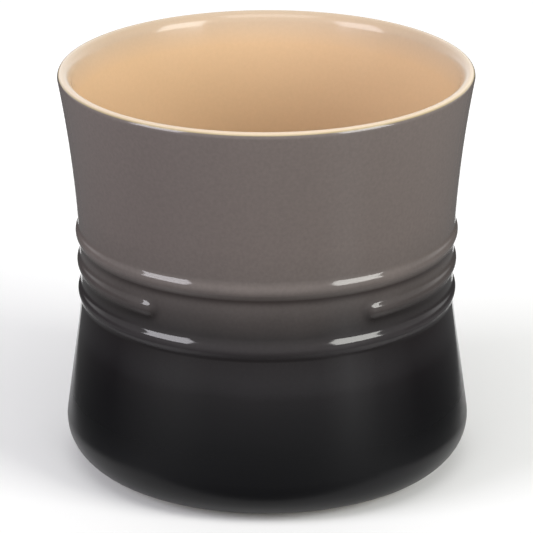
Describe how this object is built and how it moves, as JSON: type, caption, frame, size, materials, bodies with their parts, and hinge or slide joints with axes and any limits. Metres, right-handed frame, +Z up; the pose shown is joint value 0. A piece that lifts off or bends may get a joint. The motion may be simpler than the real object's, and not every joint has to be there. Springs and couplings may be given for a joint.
{
  "type": "utensil crock",
  "caption": "Waisted round stoneware crock with a flared rounded lip, raised bands at the waist, a graded gloss glaze outside and a cream liner glaze; stands open to hold kitchen tools.",
  "frame": {"origin": "on the table under the middle of the crock, at the underside of the foot ring", "axes": "+Z up along the axis that the crock is turned about; the plain panel between the ends of the middle band faces -Y"},
  "size_m": [0.165, 0.165, 0.1624],
  "materials": {
    "stoneware": "bare fired clay, matt and faintly gritty",
    "graded_glaze": "gloss glaze shading from warm grey at the lip to near black at the base",
    "cream_glaze": "gloss cream liner glaze",
    "dark_glaze": "gloss near-black glaze"
  },
  "bodies": {
    "root": {"stoneware_body": "stoneware", "outer_glaze": "graded_glaze", "inner_glaze": "cream_glaze", "base_glaze": "dark_glaze"}
  },
  "joints": []
}
